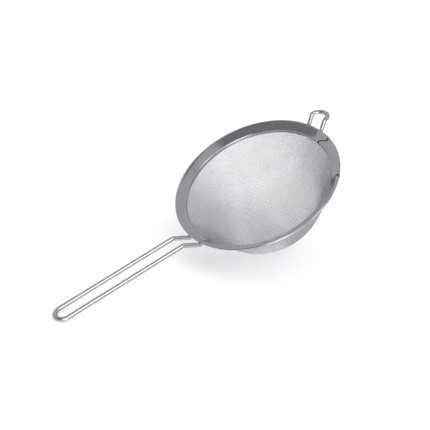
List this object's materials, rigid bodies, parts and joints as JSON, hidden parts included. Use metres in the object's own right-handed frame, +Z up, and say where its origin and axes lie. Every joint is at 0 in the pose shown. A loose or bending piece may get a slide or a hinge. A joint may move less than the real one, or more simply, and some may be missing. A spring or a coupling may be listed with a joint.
{
  "type": "tea strainer",
  "caption": "Small steel tea strainer: round woven-mesh bowl in a polished dished rim, with a long bent-wire handle and a wire rest hook.",
  "frame": {"origin": "on the table, under the middle of the strainer's bounding box as it lies at rest", "axes": "+Z up from the table; +X from the handle's end towards the rest hook; the bowl and the handle are symmetric about the XZ plane, the hook sits 1.4 mm to +Y, and the rim is tipped 27.8 degrees, handle side down"},
  "size_m": [0.1736, 0.092, 0.0678],
  "materials": {
    "polished_steel": "mirror polished stainless sheet",
    "woven_steel": "bright woven stainless wire",
    "wire_steel": "polished drawn stainless wire"
  },
  "bodies": {
    "root": {"rim_band": "polished_steel", "clamp_ring": "polished_steel", "mesh_basket": "woven_steel", "handle_wire": "wire_steel", "rest_hook": "wire_steel"}
  },
  "joints": []
}
